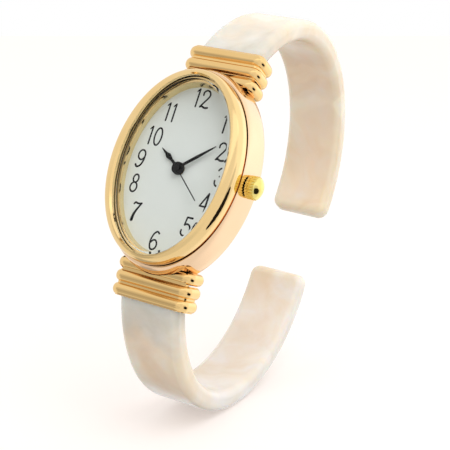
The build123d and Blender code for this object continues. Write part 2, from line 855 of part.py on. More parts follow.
with BuildPart() as crown_ring:
    ring_middle = (tube_radius + crown_recess_radius) / 2
    with BuildSketch(Plane.XY):
        with Locations((crown_inner + tube_reach / 2, -stem_height + ring_middle)):
            Circle(ring_wire)
    revolve(axis=stem_axis)
save(crown_ring, "crown_ring")


# Angles of the hands, clockwise from 12
second_share = shown_seconds / seconds_per_turn
minute_share = (shown_minutes + second_share) / minutes_per_turn
hour_share = (shown_hours + minute_share) / hours_per_turn
second_angle = full_turn * second_share
minute_angle = full_turn * minute_share
hour_angle = full_turn * hour_share
hour_outline_shares = ((0.5, 0.0), (0.42, 0.42), (0.9, 0.62), (0.42, 0.74), (0.1, 1.0))
minute_outline_shares = ((0.5, 0.0), (0.55, 0.5), (0.3, 0.85), (0.12, 1.0))


def hand_points(shares, width, length):
    """Corners of a hand that points to 12, one side after the other."""
    side = [(width * across, length * along) for across, along in shares]
    return side + [(-across, along) for across, along in reversed(side)]


with BuildPart() as hour_hand:
    with BuildSketch(level(hour_hand_level)):
        Polygon(
            *hand_points(hour_outline_shares, hour_hand_width, hour_hand_length),
            rotation=-hour_angle,
            align=None,
        )
        Circle(hour_hub_radius)
        Circle(hour_pipe_bore, mode=Mode.SUBTRACT)
    extrude(amount=hand_thickness)
save(hour_hand, "hour_hand")

with BuildPart() as minute_hand:
    with BuildSketch(level(minute_hand_level)):
        Polygon(
            *hand_points(minute_outline_shares, minute_hand_width, minute_hand_length),
            rotation=-minute_angle,
            align=None,
        )
        Circle(minute_hub_radius)
        Circle(centre_bore, mode=Mode.SUBTRACT)
    extrude(amount=hand_thickness)
save(minute_hand, "minute_hand")

with BuildPart() as second_hand:
    with BuildSketch(level(second_hand_level)):
        with Locations(Location((0, 0, 0), (0, 0, -second_angle))):
            with Locations((0, -second_hand_tail)):
                Rectangle(
                    second_hand_width,
                    second_hand_length + second_hand_tail,
                    align=(Align.CENTER, Align.MIN),
                )
        Circle(second_hub_radius)
    extrude(amount=hand_thickness)
save(second_hand, "second_hand")


def rib(number):
    """One rounded rib around the ferrule, counted outwards from the hinge, in the part being built."""
    with BuildSketch(rib_plane.offset(rib_pitch * number - rib_length / 2)) as outline:
        with Locations((0, rib_middle)):
            RectangleRounded(rib_width, rib_depth, rib_corner)
    ring = extrude(outline.sketch, amount=rib_length, mode=Mode.PRIVATE)
    add(ring.fillet(rib_rounding, ring.edges().filter_by(rib_plane)))


# The hinge's sizes that follow from the ribs and the pin
hinge_pin_length = knuckle_width + 2 * hinge_pin_seat
knuckle_radius = rib_front - barrel_wall - running_gap
spring_radius = hinge_pin_radius + spring_pin_gap + spring_wire_side / 2
spring_pocket_radius = spring_radius + spring_wire_side / 2 + spring_pocket_gap

with BuildPart() as hinge_barrel:
    rib(0)
    with BuildSketch(rib_plane.offset(-rib_length / 2)):
        with Locations((0, barrel_wall - rib_front)):
            Rectangle(knuckle_width + 2 * running_gap, slot_depth, align=(Align.CENTER, Align.MIN))
    extrude(amount=rib_length, mode=Mode.SUBTRACT)
    with BuildSketch(Plane.YZ):
        with Locations((-hinge_height, hinge_place)):
            Circle(hinge_pin_radius + fit_gap)
    extrude(amount=hinge_pin_length / 2 + running_gap, both=True, mode=Mode.SUBTRACT)
save_pair(hinge_barrel, "hinge_barrel")

with BuildPart() as hinge_pin:
    with BuildSketch(Plane.YZ):
        with Locations((-hinge_height, hinge_place)):
            Circle(hinge_pin_radius)
    extrude(amount=hinge_pin_length / 2, both=True)
save_pair(hinge_pin, "hinge_pin")

with BuildPart() as hinge_spring:
    spring_length = spring_pitch * spring_turns
    spring_start = (knuckle_width - spring_pocket_depth - spring_length) / 2
    coil_line = Helix(
        pitch=spring_pitch,
        height=spring_length,
        radius=spring_radius,
        center=(spring_start, -hinge_height, hinge_place),
        direction=(1, 0, 0),
        mode=Mode.PRIVATE,
    )
    with BuildSketch(Plane(origin=coil_line @ 0, z_dir=coil_line % 0)):
        Rectangle(spring_wire_side, spring_wire_side)
    sweep(path=coil_line, is_frenet=True)
    mirror(about=Plane.YZ)
save_pair(hinge_spring, "hinge_spring")

# Where the arm's outer face begins, as a place in the Y and Z plane, and which way it runs there
heading = radians(arm_start_heading)
arm_start = (-hinge_height - arm_start_front, hinge_place + arm_start_out)
arm_inwards = (cos(heading), -sin(heading))
arm_heading = (sin(heading), cos(heading))
arm_curves = ((shoulder_radius, shoulder_turn), (bow_radius, bow_turn), (tip_radius, tip_turn))


# How far out the ferrule ends, and where its rivet sits, along the ferrule
exit_level = rib_pitch * (rib_count - 1) + rib_length / 2
rivet_level = exit_level - socket_depth / 2
ferrule_start = rib_pitch - rib_length / 2
ferrule_length = exit_level - ferrule_start
tongue_width = arm_width - 2 * tongue_inset


def arm_blank(allowance):
    """The arm's curved band with an allowance all round, cut off inside the ferrule's mouth."""
    with BuildPart() as blank:
        with BuildSketch(Plane.YZ):
            with BuildLine():
                ends = []
                for depth in (-allowance, arm_thickness + allowance):
                    point = Vector(*arm_start) + Vector(*arm_inwards) * depth
                    direction = Vector(*arm_heading)
                    ends.append(point)
                    for radius, turn in arm_curves:
                        curve = JernArc(start=point, tangent=direction, radius=radius - depth, arc_size=-turn)
                        point = curve @ 1
                        direction = curve % 1
                    ends.append(point)
                Line(ends[0], ends[2])
                Line(ends[1], ends[3])
            make_face()
        extrude(amount=arm_width / 2 + allowance, both=True)
        with BuildSketch(rib_plane.offset(exit_level - mouth_depth - allowance)):
            with Locations((0, rib_middle)):
                Rectangle(2 * rib_width, 2 * rib_depth)
        extrude(amount=-2 * ferrule_length, mode=Mode.SUBTRACT)
    return blank


def tongue(allowance, depth, reach, mode):
    """The straight tongue that plugs into the ferrule, or its socket, in the part being built."""
    with BuildSketch(rib_plane.offset(exit_level - depth)) as outline:
        with Locations((0, tongue_front - rib_front - allowance)):
            Rectangle(
                tongue_width + 2 * allowance,
                tongue_thickness + 2 * allowance,
                align=(Align.CENTER, Align.MIN),
            )
    extrude(outline.sketch, amount=depth + reach, mode=mode)


def rivet_shank(mode):
    """The rivet's shank from the ferrule's back into the tongue, in the part being built."""
    ferrule_back = rib_plane.from_local_coords((0, rib_depth - rib_front, rivet_level))
    with BuildSketch(Plane(origin=ferrule_back, x_dir=(1, 0, 0), z_dir=-rib_plane.y_dir)) as outline:
        Circle(rivet_radius)
    extrude(outline.sketch, amount=rivet_length, mode=mode)


mouth_blank = arm_blank(fit_gap)
arm_core_blank = arm_blank(0)

with BuildPart() as ferrule:
    for number in range(1, rib_count):
        rib(number)
    with BuildSketch(rib_plane.offset(ferrule_start)):
        with Locations((0, rib_middle)):
            RectangleRounded(rib_width - 2 * core_inset, rib_depth - 2 * core_inset, rib_corner - core_inset)
    extrude(amount=ferrule_length)
    with BuildSketch(rib_plane):
        with Locations((0, -neck_front)):
            Rectangle(knuckle_width, neck_thickness, align=(Align.CENTER, Align.MIN))
    extrude(amount=rib_pitch)
    with BuildSketch(Plane.YZ):
        with Locations((-hinge_height, hinge_place)):
            Circle(knuckle_radius)
    extrude(amount=knuckle_width / 2, both=True)
    with BuildSketch(Plane.YZ):
        with Locations((-hinge_height, hinge_place)):
            Circle(hinge_pin_radius + running_gap)
    extrude(amount=knuckle_width / 2, both=True, mode=Mode.SUBTRACT)
    for side in (-1, 1):
        with BuildSketch(Plane.YZ.offset(side * knuckle_width / 2)):
            with Locations((-hinge_height, hinge_place)):
                Circle(spring_pocket_radius)
        extrude(amount=-side * spring_pocket_depth, mode=Mode.SUBTRACT)
    tongue(fit_gap, socket_depth, fit_gap, Mode.SUBTRACT)
    add(mouth_blank.part, mode=Mode.SUBTRACT)
    rivet_shank(Mode.SUBTRACT)
save_pair(ferrule, "ferrule")

with BuildPart() as arm:
    add(arm_core_blank.part)
    across_tip = arm.edges().filter_by(GeomType.LINE).filter_by(Axis.X, reverse=True).sort_by(Axis.Z)[:2]
    fillet(across_tip, tip_corner)
    tip_face = arm.faces().filter_by(GeomType.PLANE).filter_by(Axis.X, reverse=True).sort_by(Axis.Z)[0]
    side_rims = arm.faces().filter_by(Axis.X).edges().filter_by(GeomType.CIRCLE)
    fillet(side_rims + tip_face.edges().filter_by(Axis.X), arm_rounding)
    tongue(0, socket_depth - fit_gap, tongue_reach, Mode.ADD)
    rivet_shank(Mode.SUBTRACT)
save_pair(arm, "arm")

with BuildPart() as arm_rivet:
    rivet_shank(Mode.ADD)
save_pair(arm_rivet, "arm_rivet")
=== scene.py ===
import math

import bmesh
import bpy
from mathutils import Matrix, Vector


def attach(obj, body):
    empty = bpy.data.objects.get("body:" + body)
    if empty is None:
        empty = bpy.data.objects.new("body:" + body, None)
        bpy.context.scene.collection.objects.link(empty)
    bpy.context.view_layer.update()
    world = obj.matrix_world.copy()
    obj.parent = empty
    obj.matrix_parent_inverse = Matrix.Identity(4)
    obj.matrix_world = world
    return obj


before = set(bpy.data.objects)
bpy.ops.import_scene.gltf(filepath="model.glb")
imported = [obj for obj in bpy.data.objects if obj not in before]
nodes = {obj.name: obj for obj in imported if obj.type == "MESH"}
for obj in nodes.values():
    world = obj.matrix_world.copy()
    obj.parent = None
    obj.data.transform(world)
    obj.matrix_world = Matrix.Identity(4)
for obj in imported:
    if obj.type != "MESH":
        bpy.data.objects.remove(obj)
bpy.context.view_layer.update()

MM = 0.001
scene = bpy.context.scene
scene.view_settings.view_transform = "Standard"


def place(x, z, height):
    """A point of the shared frame, from mm seen from the front and a height over the case back."""
    return Vector((x * MM, -height * MM, z * MM))


# Camera: its place in metres, and its directions, from outlines measured in the photograph
CAMERA_SENSOR = 36
CAMERA_LENS = 94.96
CAMERA_NEAREST = 0.005
CAMERA_FURTHEST = 10
CAMERA_PLACE = (0.09103, -0.15811, -0.02924)
CAMERA_UP = (-0.2100, -0.2512, 0.9449)
CAMERA_RIGHT = (0.8606, 0.4111, 0.3005)


def make_camera():
    """Sets the camera, and gives its right, up and back directions squared to each other."""
    data = bpy.data.cameras.new("photo_camera")
    data.sensor_width = CAMERA_SENSOR
    data.lens = CAMERA_LENS
    data.clip_start = CAMERA_NEAREST
    data.clip_end = CAMERA_FURTHEST
    camera = bpy.data.objects.new("photo_camera", data)
    scene.collection.objects.link(camera)
    scene.camera = camera
    up = Vector(CAMERA_UP).normalized()
    back = Vector(CAMERA_RIGHT).cross(up).normalized()
    right = up.cross(back).normalized()
    turned = Matrix((right, up, back)).transposed().to_4x4()
    camera.matrix_world = Matrix.Translation(CAMERA_PLACE) @ turned
    return right, up, back


camera_right, camera_up, camera_back = make_camera()


# Shader helpers
def feed(tree, socket, value):
    """Links a socket to another one, or sets it to a colour or a number."""
    if isinstance(value, bpy.types.NodeSocket):
        tree.links.new(value, socket)
    elif isinstance(value, tuple):
        socket.default_value = (*value, 1)
    else:
        socket.default_value = value


def new_material(name, color, metallic=0.0, roughness=0.5):
    """A material, with its node tree and its main shader."""
    material = bpy.data.materials.new(name)
    material.use_nodes = True
    tree = material.node_tree
    shader = tree.nodes["Principled BSDF"]
    shader.inputs["Base Color"].default_value = (*color, 1)
    shader.inputs["Metallic"].default_value = metallic
    shader.inputs["Roughness"].default_value = roughness
    return material, tree, shader


def object_place(tree, stretch=(1, 1, 1)):
    """Coordinates fixed to the object, stretched along its axes."""
    source = tree.nodes.new("ShaderNodeTexCoord")
    mapping = tree.nodes.new("ShaderNodeMapping")
    mapping.inputs["Scale"].default_value = stretch
    tree.links.new(source.outputs["Object"], mapping.inputs["Vector"])
    return mapping.outputs["Vector"]


def noise(tree, vector, scale, detail=2.0, roughness=0.5, distortion=0.0, output="Fac"):
    """A cloudy noise, as a grey value or by its Color output."""
    node = tree.nodes.new("ShaderNodeTexNoise")
    node.inputs["Scale"].default_value = scale
    node.inputs["Detail"].default_value = detail
    node.inputs["Roughness"].default_value = roughness
    node.inputs["Distortion"].default_value = distortion
    tree.links.new(vector, node.inputs["Vector"])
    return node.outputs[output]


def ramp(tree, value, stops):
    """A colour for each value, given as (place, colour) stops."""
    node = tree.nodes.new("ShaderNodeValToRGB")
    elements = node.color_ramp.elements
    while len(elements) < len(stops):
        elements.new(0.5)
    for element, (where, color) in zip(elements, stops):
        element.position = where
        element.color = (*color, 1)
    tree.links.new(value, node.inputs["Fac"])
    return node.outputs["Color"]


# Most of a noise lies between these values
NOISE_MIDDLE = (0.3, 0.7)


def mottled(tree, value, dark, light):
    """Two near tones, with the change between them in the middle of a noise."""
    return ramp(tree, value, tuple(zip(NOISE_MIDDLE, (dark, light))))


def spread(tree, value, old_ends, new_ends, smooth=False):
    """A value moved from one range into another, and held at its ends."""
    node = tree.nodes.new("ShaderNodeMapRange")
    if smooth:
        node.interpolation_type = "SMOOTHSTEP"
    node.inputs["From Min"].default_value, node.inputs["From Max"].default_value = old_ends
    node.inputs["To Min"].default_value, node.inputs["To Max"].default_value = new_ends
    tree.links.new(value, node.inputs["Value"])
    return node.outputs["Result"]


def math_node(tree, operation, *values):
    """A sum, product or the like of sockets and numbers."""
    node = tree.nodes.new("ShaderNodeMath")
    node.operation = operation
    for socket, value in zip(node.inputs, values):
        feed(tree, socket, value)
    return node.outputs["Value"]


# A Mix node has its own sockets for each type of data: both values, then the result
MIX_SOCKETS = {"FLOAT": (2, 3, 0), "RGBA": (6, 7, 2)}


def blend(tree, share, first, second, kind="RGBA", mode="MIX"):
    """Two colours or numbers mixed by a share. Each is a socket or a plain value."""
    node = tree.nodes.new("ShaderNodeMix")
    node.data_type = kind
    node.blend_type = mode
    first_socket, second_socket, result = MIX_SOCKETS[kind]
    feed(tree, node.inputs[0], share)
    feed(tree, node.inputs[first_socket], first)
    feed(tree, node.inputs[second_socket], second)
    return node.outputs[result]


def mix_shaders(tree, share, first, second):
    """Two shaders' outputs mixed by a share, which is a socket or a number."""
    node = tree.nodes.new("ShaderNodeMixShader")
    feed(tree, node.inputs["Fac"], share)
    tree.links.new(first, node.inputs[1])
    tree.links.new(second, node.inputs[2])
    return node.outputs["Shader"]


def bump(tree, shader, height, strength, distance):
    """Fine relief on a shader, from a height value and its depth in metres."""
    node = tree.nodes.new("ShaderNodeBump")
    node.inputs["Strength"].default_value = strength
    node.inputs["Distance"].default_value = distance
    tree.links.new(height, node.inputs["Height"])
    tree.links.new(node.outputs["Normal"], shader.inputs["Normal"])


# A noise's scale says about how many of its blotches fit in a metre. Bump heights are in metres.
TARNISH_SCALE = 140
GRAIN_HEIGHT = 0.00001
MOTTLE_HEIGHT = 0.00002


def metal(name, dark, light, gloss, stretch=(1, 1, 1), grain_scale=900, grain_bump=0.0):
    """A metal whose colour drifts a little and whose roughness follows a fine grain."""
    smoothest, roughest = gloss
    material, tree, shader = new_material(name, light, metallic=1.0, roughness=roughest)
    broad = noise(tree, object_place(tree), TARNISH_SCALE, detail=2)
    tree.links.new(mottled(tree, broad, dark, light), shader.inputs["Base Color"])
    fine = noise(tree, object_place(tree, stretch), grain_scale, detail=3)
    grain = spread(tree, fine, NOISE_MIDDLE, (smoothest, roughest))
    tree.links.new(grain, shader.inputs["Roughness"])
    if grain_bump:
        bump(tree, shader, fine, grain_bump, GRAIN_HEIGHT)
    return material


def plastic(name, dark, light, roughness, scale=400, grain_bump=0.05, specular=0.5):
    """A moulded plastic or lacquer with a slight mottle."""
    material, tree, shader = new_material(name, light, roughness=roughness)
    mottle = noise(tree, object_place(tree), scale, detail=3)
    tree.links.new(mottled(tree, mottle, dark, light), shader.inputs["Base Color"])
    shader.inputs["Specular IOR Level"].default_value = specular
    bump(tree, shader, mottle, grain_bump, MOTTLE_HEIGHT)
    return material


# Metals: the darker and lighter tone, then the lowest and highest roughness
gold = metal("polished_gold", (0.88, 0.62, 0.28), (0.91, 0.66, 0.32), (0.05, 0.09))
gold_band = metal("smooth_gold_band", (0.90, 0.62, 0.38), (0.92, 0.65, 0.42), (0.08, 0.12))
gold_ribs = metal("ribbed_gold", (0.87, 0.58, 0.24), (0.91, 0.62, 0.27), (0.06, 0.10))
gold_crown = metal("lemon_gold", (0.89, 0.72, 0.22), (0.93, 0.77, 0.27), (0.06, 0.10))
gold_satin = metal("satin_gold", (0.86, 0.68, 0.34), (0.92, 0.75, 0.42), (0.16, 0.26))
steel_back = metal("brushed_back", (0.60, 0.60, 0.59), (0.70, 0.70, 0.69), (0.22, 0.38),
                   stretch=(1, 1, 14), grain_scale=700, grain_bump=0.3)
bright_steel = metal("bright_steel", (0.58, 0.58, 0.57), (0.66, 0.66, 0.65), (0.12, 0.22))
spring_steel = metal("drawn_wire", (0.40, 0.40, 0.41), (0.48, 0.48, 0.49), (0.25, 0.35))
soft_iron = metal("annealed_iron", (0.42, 0.42, 0.43), (0.52, 0.52, 0.53), (0.35, 0.5))
plate_brass = metal("grained_brass", (0.68, 0.55, 0.28), (0.76, 0.63, 0.34), (0.2, 0.32),
                    stretch=(10, 1, 1), grain_scale=500, grain_bump=0.2)
wheel_brass = metal("wheel_brass", (0.72, 0.55, 0.24), (0.80, 0.62, 0.30), (0.12, 0.2))
copper = metal("enamelled_copper", (0.50, 0.18, 0.07), (0.66, 0.27, 0.11), (0.25, 0.35),
               stretch=(14, 1, 1), grain_scale=500, grain_bump=0.6)
quartz_shell = metal("quartz_shell", (0.70, 0.70, 0.72), (0.78, 0.78, 0.80), (0.15, 0.25))
cell_steel = metal("cell_steel", (0.62, 0.62, 0.62), (0.72, 0.72, 0.72), (0.1, 0.2))

# Plastics and lacquers: the darker and lighter tone, then the roughness
holder_plastic = plastic("white_moulding", (0.74, 0.74, 0.71), (0.80, 0.80, 0.77), 0.5)
small_plastic = plastic("pale_moulding", (0.66, 0.68, 0.64), (0.72, 0.74, 0.70), 0.42)
board_lacquer = plastic("board_lacquer", (0.010, 0.085, 0.028), (0.018, 0.12, 0.04), 0.35)
chip_plastic = plastic("black_moulding", (0.006, 0.006, 0.006), (0.012, 0.012, 0.012), 0.55)
seal_rubber = plastic("seal_rubber", (0.008, 0.008, 0.008), (0.014, 0.014, 0.014), 0.65)
seal_nylon = plastic("amber_seal", (0.93, 0.74, 0.36), (0.96, 0.79, 0.41), 0.4)
hand_black = plastic("hand_black", (0.003, 0.003, 0.003), (0.006, 0.006, 0.006), 0.45,
                     specular=0.15)
ink = plastic("dial_ink", (0.005, 0.005, 0.006), (0.010, 0.010, 0.011), 0.45, specular=0.2)

DIAL_CLOUD_SCALE = 90
DIAL_GRAIN_SCALE = 6000


def make_dial_paint():
    """Pale lacquer with broad, faint clouds and a very fine grain."""
    material, tree, shader = new_material("dial_paint", (0.76, 0.80, 0.76), roughness=0.42)
    cloud = noise(tree, object_place(tree), DIAL_CLOUD_SCALE, detail=2)
    tone = mottled(tree, cloud, (0.790, 0.835, 0.790), (0.815, 0.860, 0.820))
    tree.links.new(tone, shader.inputs["Base Color"])
    grain = noise(tree, object_place(tree), DIAL_GRAIN_SCALE, detail=2)
    bump(tree, shader, grain, 0.04, GRAIN_HEIGHT)
    return material


# Pearl acrylic: its tones along the cloud noise, and those of its flakes and its greyer root
PEARL_CLOUDS = (
    (0.30, (0.850, 0.690, 0.490)),
    (0.46, (0.885, 0.760, 0.590)),
    (0.58, (0.895, 0.800, 0.665)),
    (0.74, (0.900, 0.845, 0.760)),
)
PEARL_FLAKES = ((0.0, (0.93, 0.93, 0.93)), (0.8, (1.0, 1.0, 1.0)), (1.0, (1.07, 1.08, 1.10)))
PEARL_FLAKE_SHARE = 0.8
PEARL_GREYS = ((0.32, (0.60, 0.57, 0.49)), (0.5, (0.68, 0.66, 0.59)), (0.7, (0.78, 0.77, 0.71)))

# Painted light: the sheet is warmer and lighter at the front and above, and paler and bluer behind
# and below. These are factors.
# The warm factor, above 1, is a painted warm glow of light through the acrylic
PEARL_PAINTED_WARM_LIGHT = (1.04, 1.01, 0.985)
PEARL_PALE = (0.98, 1.015, 1.13)

# About how many warps, clouds, flakes, drifts and ripples fit in a metre
WARP_SCALE = 70
CLOUD_SCALE = 120
FLAKE_SCALE = 230
DRIFT_SCALE = 160
RIPPLE_SCALE = 260

# In metres of the frame: how far the clouds are warped, where the pale side of the painted light
# comes in along Y and Z, and where the grey root ends along Y, after a drift that makes its edge
# uneven
CLOUD_WARP = 0.010
PALE_BEHIND = (0.008, 0.022)
PALE_BELOW = (0.004, -0.016)
ROOT_DRIFT = 0.012
ROOT_END = (0.0035, 0.011)
ROOT_SHARE = 0.85
RIPPLE_HEIGHT = 0.00008


def warp_place(tree, base):
    """Coordinates pushed about by a coarse noise, so that clouds and flakes curl."""
    push = tree.nodes.new("ShaderNodeVectorMath")
    push.operation = "MULTIPLY_ADD"
    tree.links.new(noise(tree, base, WARP_SCALE, detail=2, output="Color"), push.inputs[0])
    push.inputs[1].default_value = (CLOUD_WARP, CLOUD_WARP, CLOUD_WARP)
    tree.links.new(base, push.inputs[2])
    return push.outputs["Vector"]


def flake_tones(tree, vector):
    """Soft cells, each a little lighter or darker."""
    cells = tree.nodes.new("ShaderNodeTexVoronoi")
    cells.feature = "SMOOTH_F1"
    cells.inputs["Scale"].default_value = FLAKE_SCALE
    cells.inputs["Smoothness"].default_value = 0.35
    cells.inputs["Randomness"].default_value = 1.0
    tree.links.new(vector, cells.inputs["Vector"])
    tone = tree.nodes.new("ShaderNodeSeparateColor")
    tree.links.new(cells.outputs["Color"], tone.inputs["Color"])
    return ramp(tree, tone.outputs["Red"], PEARL_FLAKES)


def make_pearl():
    """Marbled ivory acrylic: warped clouds, faint flakes, a greyer root by the ferrule, and painted
    light that warms the front and top.
    """
    material, tree, shader = new_material("pearl_acrylic", (0.86, 0.77, 0.65), roughness=0.24)
    base = object_place(tree)
    warped = warp_place(tree, base)
    cloud = noise(tree, warped, CLOUD_SCALE, detail=4, roughness=0.55, distortion=0.6)
    color = ramp(tree, cloud, PEARL_CLOUDS)
    color = blend(tree, PEARL_FLAKE_SHARE, color, flake_tones(tree, warped), mode="MULTIPLY")
    parts = tree.nodes.new("ShaderNodeSeparateXYZ")
    tree.links.new(base, parts.inputs["Vector"])
    # Painted light: warmer and lighter at the front and above, paler and bluer behind and below
    behind = spread(tree, parts.outputs["Y"], PALE_BEHIND, (0.0, 1.0), smooth=True)
    below = spread(tree, parts.outputs["Z"], PALE_BELOW, (0.0, 1.0), smooth=True)
    paler = math_node(tree, "MULTIPLY", behind, below)
    painted_light_factor = blend(tree, paler, PEARL_PAINTED_WARM_LIGHT, PEARL_PALE)
    color = blend(tree, 1.0, color, painted_light_factor, mode="MULTIPLY")
    drift = noise(tree, base, DRIFT_SCALE, detail=3)
    drifted = math_node(tree, "MULTIPLY_ADD", drift, ROOT_DRIFT, parts.outputs["Y"])
    root = spread(tree, drifted, ROOT_END, (ROOT_SHARE, 0.0), smooth=True)
    color = blend(tree, root, color, ramp(tree, cloud, PEARL_GREYS))
    tree.links.new(color, shader.inputs["Base Color"])
    shader.inputs["Subsurface Weight"].default_value = 0.55
    shader.inputs["Subsurface Radius"].default_value = (1.0, 0.70, 0.45)
    shader.inputs["Subsurface Scale"].default_value = 0.004
    shader.inputs["Coat Weight"].default_value = 0.35
    shader.inputs["Coat Roughness"].default_value = 0.12
    ripple = noise(tree, base, RIPPLE_SCALE, detail=2)
    bump(tree, shader, ripple, 0.12, RIPPLE_HEIGHT)
    return material


GLASS_INDEX = 1.5
GLASS_ROUGHNESS = 0.02
GLASS_TINT_SCALE = 300
# The share of the crystal that only bends light, which keeps its reflections faint
UNREFLECTING_SHARE = 0.8


def make_crystal():
    """Clear glass with faint reflections, which lets the light through to the dial."""
    material, tree, shader = new_material(
        "crystal_glass", (0.99, 1.0, 0.995), roughness=GLASS_ROUGHNESS
    )
    shader.inputs["Transmission Weight"].default_value = 1.0
    shader.inputs["IOR"].default_value = GLASS_INDEX
    shader.inputs["Specular IOR Level"].default_value = 0.12
    faint = noise(tree, object_place(tree), GLASS_TINT_SCALE, detail=2)
    tone = mottled(tree, faint, (0.985, 0.995, 0.990), (0.995, 1.0, 0.998))
    tree.links.new(tone, shader.inputs["Base Color"])
    bend = tree.nodes.new("ShaderNodeBsdfRefraction")
    bend.inputs["IOR"].default_value = GLASS_INDEX
    bend.inputs["Roughness"].default_value = GLASS_ROUGHNESS
    glass = mix_shaders(tree, UNREFLECTING_SHARE, shader.outputs["BSDF"], bend.outputs["BSDF"])
    clear = tree.nodes.new("ShaderNodeBsdfTransparent")
    rays = tree.nodes.new("ShaderNodeLightPath")
    shown = mix_shaders(tree, rays.outputs["Is Shadow Ray"], glass, clear.outputs["BSDF"])
    tree.links.new(shown, tree.nodes["Material Output"].inputs["Surface"])
    return material


# Which CAD pieces get which material
LOOKS = (
    (gold, ("bezel",)),
    (gold_band, ("case_body",)),
    (gold_ribs, ("upper_hinge_barrel", "lower_hinge_barrel", "upper_ferrule", "lower_ferrule")),
    (gold_crown, ("crown",)),
    (gold_satin, ("dial_flange",)),
    (steel_back, ("case_back",)),
    (make_crystal(), ("crystal",)),
    (make_dial_paint(), ("dial",)),
    (make_pearl(), ("upper_arm", "lower_arm")),
    (hand_black, ("hour_hand", "minute_hand", "second_hand")),
    (holder_plastic, ("movement_holder",)),
    (board_lacquer, ("circuit_board",)),
    (chip_plastic, ("ic_chip",)),
    (quartz_shell, ("quartz_can",)),
    (copper, ("coil_winding",)),
    (plate_brass, ("main_plate", "train_bridge", "dial_washer")),
    (wheel_brass, ("fourth_wheel", "third_wheel", "centre_wheel", "minute_wheel", "hour_wheel",
                   "setting_wheel", "crown_tube")),
    (small_plastic, ("fifth_wheel", "rotor")),
    (bright_steel, ("movement_screws", "winding_stem", "clutch_wheel", "setting_lever",
                    "battery_clamp", "upper_hinge_pin", "lower_hinge_pin", "upper_arm_rivet",
                    "lower_arm_rivet")),
    (spring_steel, ("upper_hinge_spring", "lower_hinge_spring")),
    (soft_iron, ("stator", "coil_core")),
    (cell_steel, ("battery", "battery_contact")),
    (seal_rubber, ("case_back_gasket", "crown_ring")),
    (seal_nylon, ("crystal_gasket",)),
)
# Edges that turn by more than this, in degrees, stay sharp
SHARP_ANGLE = 32

for look, names in LOOKS:
    for name in names:
        node = nodes[name]
        if not node.material_slots:
            node.data.materials.append(look)
        for slot in node.material_slots:
            slot.material = look
        node.data.shade_smooth()
        node.data.set_sharp_from_angle(angle=math.radians(SHARP_ANGLE))


# Dial figures, built from strokes
def arc(centre, radii, start, end, steps):
    """Points along an oval arc, in degrees anticlockwise from the right."""
    points = []
    for step in range(steps + 1):
        angle = math.radians(start + (end - start) * step / steps)
        points.append((
            centre[0] + radii[0] * math.cos(angle),
            centre[1] + radii[1] * math.sin(angle),
        ))
    return points


def between(p, q, r, s, t):
    """The value at t on a smooth cubic from q to r, whose neighbours are p and s."""
    line = (r - p) * t
    square = (2 * p - 5 * q + 4 * r - s) * t * t
    cube = (3 * q - p - 3 * r + s) * t ** 3
    return 0.5 * (2 * q + line + square + cube)


def curve(*points, steps=8):
    """A smooth run through a few points."""
    result = []
    ends = (points[0], *points, points[-1])
    for span in zip(ends, ends[1:], ends[2:], ends[3:]):
        for step in range(steps):
            result.append(tuple(between(*values, step / steps) for values in zip(*span)))
    result.append(points[-1])
    return result


# Each figure is its width and its strokes, in a box one unit high. A stroke is a list of points,
# then its thickness at the start and at the end, as a share of the usual one.
FIGURES = {
    "0": (0.46, (
        (arc((0.23, 0.5), (0.205, 0.475), 90, 450, 30), 1.0, 1.0),
    )),
    "1": (0.20, (
        ([(0.14, 0.02), (0.14, 0.98)], 1.0, 1.0),
        ([(0.13, 0.97), (0.05, 0.88), (0.02, 0.83)], 1.0, 0.7),
    )),
    "2": (0.50, (
        (curve((0.05, 0.70), (0.06, 0.86), (0.20, 0.97), (0.36, 0.92), (0.44, 0.76), (0.38, 0.58),
               (0.22, 0.34), (0.03, 0.05)), 1.0, 1.0),
        (curve((0.03, 0.05), (0.15, 0.09), (0.30, 0.03), (0.47, 0.06)), 1.0, 1.2),
    )),
    "3": (0.46, (
        (curve((0.04, 0.84), (0.14, 0.96), (0.30, 0.95), (0.40, 0.80), (0.34, 0.62),
               (0.17, 0.54)), 1.0, 0.9),
        (curve((0.17, 0.54), (0.36, 0.48), (0.45, 0.28), (0.34, 0.06), (0.14, 0.02), (0.01, 0.12),
               (-0.02, 0.28)), 0.9, 1.0),
    )),
    "4": (0.52, (
        ([(0.36, 0.02), (0.36, 0.98)], 1.15, 1.15),
        ([(0.36, 0.97), (0.03, 0.30)], 1.0, 1.0),
        ([(0.03, 0.28), (0.50, 0.28)], 1.0, 1.0),
    )),
    "5": (0.48, (
        ([(0.42, 0.97), (0.12, 0.97)], 1.2, 1.0),
        ([(0.12, 0.97), (0.08, 0.56)], 1.0, 1.0),
        (curve((0.08, 0.56), (0.24, 0.63), (0.40, 0.52), (0.44, 0.28), (0.32, 0.05), (0.12, 0.01),
               (-0.01, 0.12), (-0.02, 0.27)), 1.0, 1.0),
    )),
    "6": (0.50, (
        (curve((0.42, 0.90), (0.30, 0.98), (0.14, 0.84), (0.05, 0.55), (0.05, 0.28), (0.14, 0.06),
               (0.30, 0.03), (0.43, 0.16), (0.44, 0.36), (0.33, 0.52), (0.18, 0.50),
               (0.07, 0.36)), 1.0, 1.0),
    )),
    "7": (0.48, (
        (curve((0.03, 0.88), (0.10, 0.96), (0.28, 0.93), (0.46, 0.97)), 1.1, 1.1),
        (curve((0.45, 0.96), (0.30, 0.66), (0.18, 0.34), (0.15, 0.03)), 0.9, 1.9),
    )),
    "8": (0.46, (
        (arc((0.23, 0.75), (0.155, 0.215), 270, 630, 26), 1.0, 1.0),
        (arc((0.23, 0.28), (0.195, 0.255), 90, 450, 28), 1.0, 1.0),
    )),
    "9": (0.48, (
        (arc((0.24, 0.70), (0.20, 0.265), 0, 360, 28), 1.0, 1.0),
        (curve((0.44, 0.72), (0.42, 0.42), (0.32, 0.14), (0.14, 0.03), (0.03, 0.13)), 1.0, 1.2),
    )),
}

